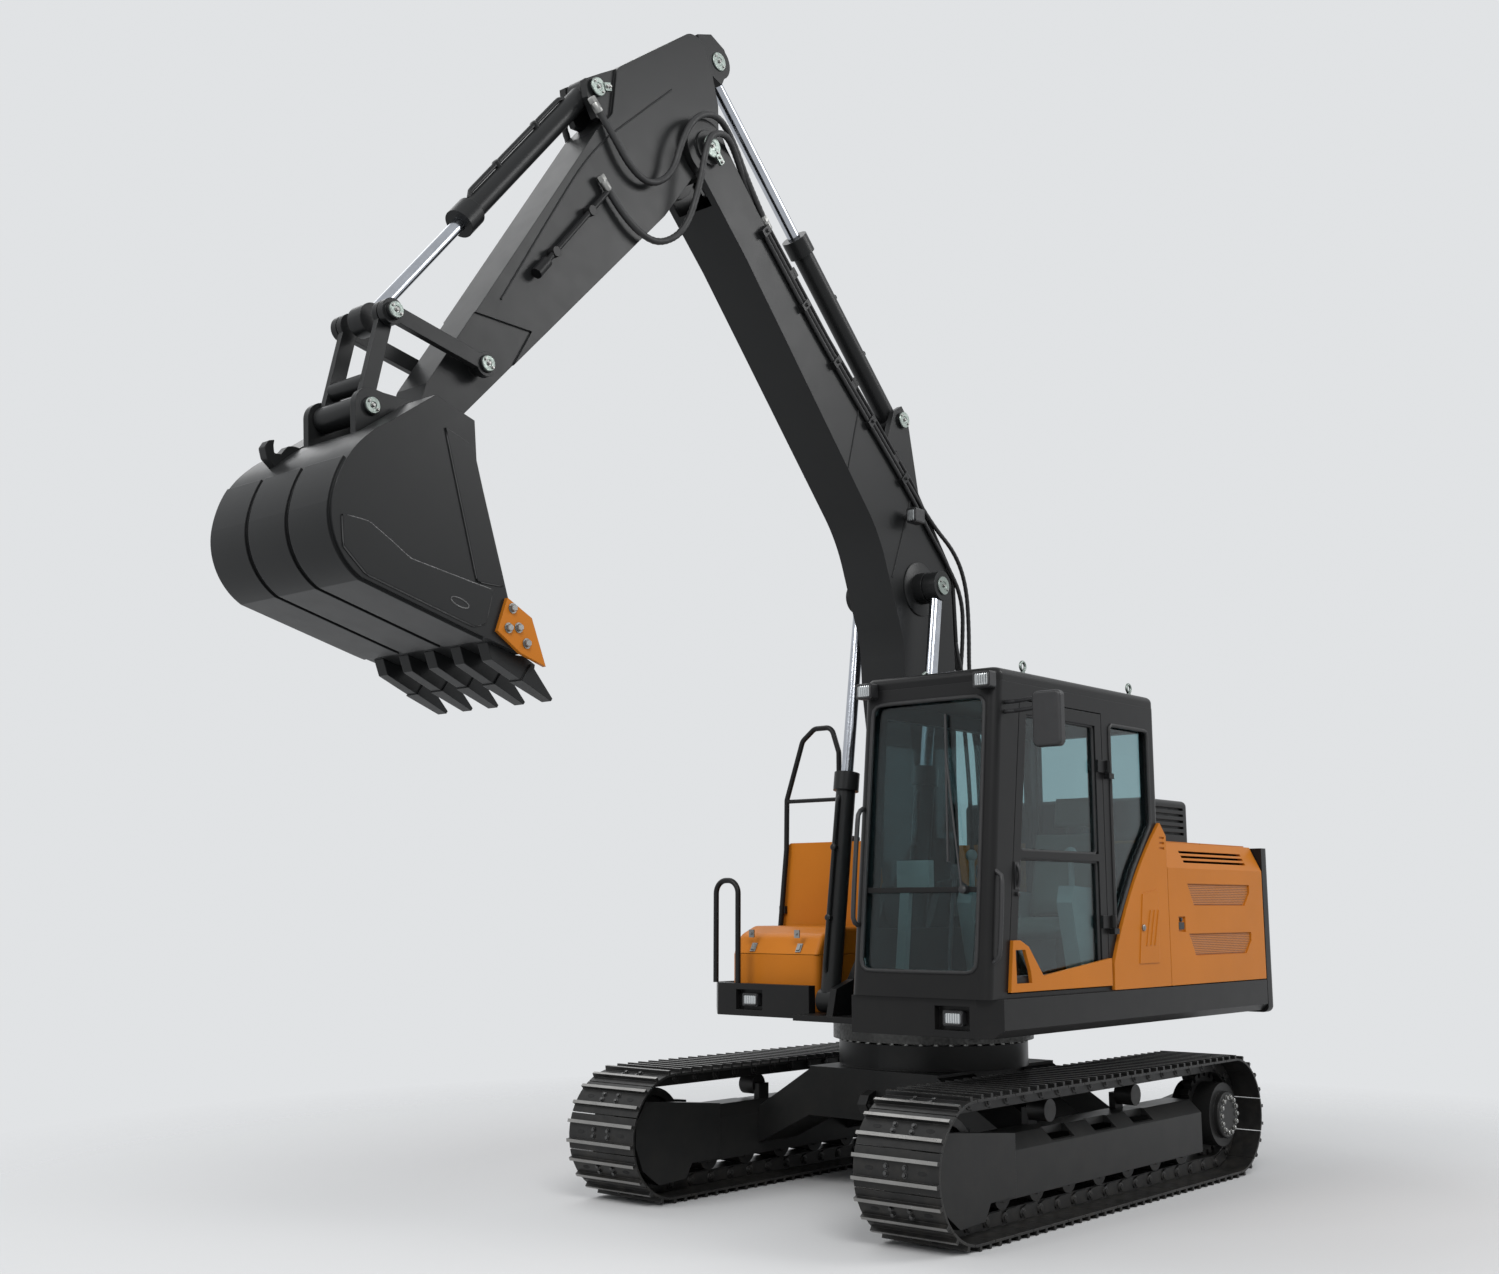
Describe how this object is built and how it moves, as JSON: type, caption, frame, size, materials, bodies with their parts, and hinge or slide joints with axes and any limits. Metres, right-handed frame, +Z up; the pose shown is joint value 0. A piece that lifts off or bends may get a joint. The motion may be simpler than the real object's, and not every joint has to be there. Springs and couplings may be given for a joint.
{
  "type": "crawler excavator",
  "caption": "Full-size crawler excavator with a slewing upper structure, glazed cab, boom, arm, toothed bucket, hydraulic cylinders, tracks, and opening door and covers.",
  "frame": {"origin": "on the ground below the slew axis", "axes": "+X forward, +Y to the operator's left, +Z up"},
  "size_m": [7.1199, 2.8325, 6.375],
  "materials": {
    "orange_paint": "satin",
    "charcoal_paint": "satin",
    "black_paint": "satin",
    "track_steel": "worn",
    "machined_steel": "satin",
    "rod_chrome": "polished",
    "cab_glass": "tinted",
    "black_plastic": "matte",
    "lamp_lens": "satin",
    "seat_fabric": "woven",
    "cast_engine": "cast"
  },
  "bodies": {
    "undercarriage": {"car_body": "charcoal_paint", "track_frame_left": "charcoal_paint", "track_frame_right": "charcoal_paint", "final_drives": "charcoal_paint", "track_left": "track_steel", "track_right": "track_steel", "idlers": "track_steel", "sprockets": "track_steel", "track_rollers": "track_steel", "carrier_rollers": "track_steel", "slew_race_lower": "machined_steel"},
    "upper": {"main_frame": "black_paint", "side_skirts": "black_paint", "counterweight": "black_paint", "muffler_cover": "black_paint", "handrails": "black_paint", "cab_frame": "black_paint", "slew_race_upper": "machined_steel", "front_cowl": "orange_paint", "left_side_panel": "orange_paint", "fuel_tank": "orange_paint", "oil_tank": "orange_paint", "tool_box": "orange_paint", "cab_roof": "black_paint", "work_lamps": "lamp_lens", "cab_mirror": "black_plastic", "engine": "cast_engine", "cab_glass": "cab_glass", "operator_seat": "seat_fabric", "consoles": "black_plastic"},
    "cab_door": {"cab_door": "black_paint", "door_panel": "orange_paint", "door_glass": "cab_glass"},
    "engine_door_left": {"engine_door_left": "orange_paint"},
    "pump_door_right": {"pump_door_right": "orange_paint"},
    "engine_hood": {"engine_hood": "orange_paint"},
    "tool_box_lid": {"tool_box_lid": "orange_paint"},
    "boom": {"boom": "charcoal_paint", "boom_pipes": "black_paint", "boom_lamp": "lamp_lens"},
    "boom_barrels": {"boom_cylinder_barrels": "charcoal_paint"},
    "boom_rods": {"boom_cylinder_rods": "rod_chrome"},
    "arm": {"arm": "charcoal_paint", "arm_pipe": "black_paint"},
    "arm_barrel": {"arm_cylinder_barrel": "charcoal_paint"},
    "arm_rod": {"arm_cylinder_rod": "rod_chrome"},
    "bucket_barrel": {"bucket_cylinder_barrel": "charcoal_paint"},
    "bucket_rod": {"bucket_cylinder_rod": "rod_chrome"},
    "rocker": {"rocker_arms": "charcoal_paint"},
    "link": {"bucket_link": "charcoal_paint"},
    "bucket": {"bucket_shell": "charcoal_paint", "bucket_teeth": "charcoal_paint", "side_cutters": "orange_paint"}
  },
  "joints": [
    {"name": "slew", "type": "hinge", "parent": "undercarriage", "child": "upper", "pos_m": [0, 0, 0.9], "axis": [0, 0, 1], "continuous": true},
    {"name": "cab_door_hinge", "type": "hinge", "parent": "upper", "child": "cab_door", "pos_m": [0.04, 1.247, 1.9], "axis": [0, 0, 1], "range_deg": [0, 160]},
    {"name": "engine_door_hinge", "type": "hinge", "parent": "upper", "child": "engine_door_left", "pos_m": [-1.94535, 1.23, 1.5], "axis": [0, 0, 1], "range_deg": [0, 105]},
    {"name": "pump_door_hinge", "type": "hinge", "parent": "upper", "child": "pump_door_right", "pos_m": [-1.94535, -1.23, 1.5], "axis": [0, 0, -1], "range_deg": [0, 105]},
    {"name": "engine_hood_hinge", "type": "hinge", "parent": "upper", "child": "engine_hood", "pos_m": [-1.332, 0, 1.9925], "axis": [0, 1, 0], "range_deg": [0, 55]},
    {"name": "tool_box_lid_hinge", "type": "hinge", "parent": "upper", "child": "tool_box_lid", "pos_m": [0.005, -0.81, 1.48], "axis": [0, -1, 0], "range_deg": [0, 75]},
    {"name": "boom_lift", "type": "hinge", "parent": "upper", "child": "boom", "pos_m": [0.1, 0, 1.62], "axis": [0, -1, 0], "range_deg": [-86, 3]},
    {"name": "arm_swing", "type": "hinge", "parent": "boom", "child": "arm", "pos_m": [2.219, 0, 5.647], "axis": [0, 1, 0], "range_deg": [-76, 36]},
    {"name": "bucket_turn", "type": "hinge", "parent": "arm", "child": "bucket", "pos_m": [3.98, 0, 3.7], "axis": [0, -1, 0], "range_deg": [-80, 73]},
    {"name": "boom_barrel_hinge", "type": "hinge", "parent": "upper", "child": "boom_barrels", "pos_m": [0.634, 0, 1.078], "axis": [0, -1, 0], "range_deg": [-90, 10]},
    {"name": "boom_rod_slide", "type": "slide", "parent": "boom_barrels", "child": "boom_rods", "axis": [-0.1383, 0, 0.9904], "range_m": [-1.05, 0.1]},
    {"name": "arm_barrel_hinge", "type": "hinge", "parent": "boom", "child": "arm_barrel", "pos_m": [0.359, 0, 4.569], "axis": [0, -1, 0], "range_deg": [-10, 10]},
    {"name": "arm_rod_slide", "type": "slide", "parent": "arm_barrel", "child": "arm_rod", "axis": [0.7132, 0, 0.701], "range_m": [-0.75, 0.4]},
    {"name": "bucket_barrel_hinge", "type": "hinge", "parent": "arm", "child": "bucket_barrel", "pos_m": [2.991, 0, 5.708], "axis": [0, -1, 0], "range_deg": [-10, 10]},
    {"name": "bucket_rod_slide", "type": "slide", "parent": "bucket_barrel", "child": "bucket_rod", "axis": [0.6278, 0, -0.7784], "range_m": [-0.45, 0.45]},
    {"name": "rocker_hinge", "type": "hinge", "parent": "arm", "child": "rocker", "pos_m": [3.7285, 0, 4.04], "axis": [0, -1, 0], "range_deg": [-60, 55]},
    {"name": "link_hinge", "type": "hinge", "parent": "bucket", "child": "link", "pos_m": [4.35, 0, 3.695], "axis": [0, -1, 0], "range_deg": [-70, 75]}
  ],
  "couplings": [
    {"joint": "boom_barrel_hinge", "follows": "boom_lift", "ratio": 0.87},
    {"joint": "boom_rod_slide", "follows": "boom_lift", "m_per_rad": 0.64},
    {"joint": "arm_barrel_hinge", "follows": "arm_swing", "ratio": -0.04},
    {"joint": "arm_rod_slide", "follows": "arm_swing", "m_per_rad": 0.51},
    {"joint": "bucket_barrel_hinge", "follows": "bucket_turn", "ratio": 0.067},
    {"joint": "bucket_rod_slide", "follows": "bucket_turn", "m_per_rad": -0.278},
    {"joint": "rocker_hinge", "follows": "bucket_turn", "ratio": 0.616},
    {"joint": "link_hinge", "follows": "bucket_turn", "ratio": -0.795}
  ]
}
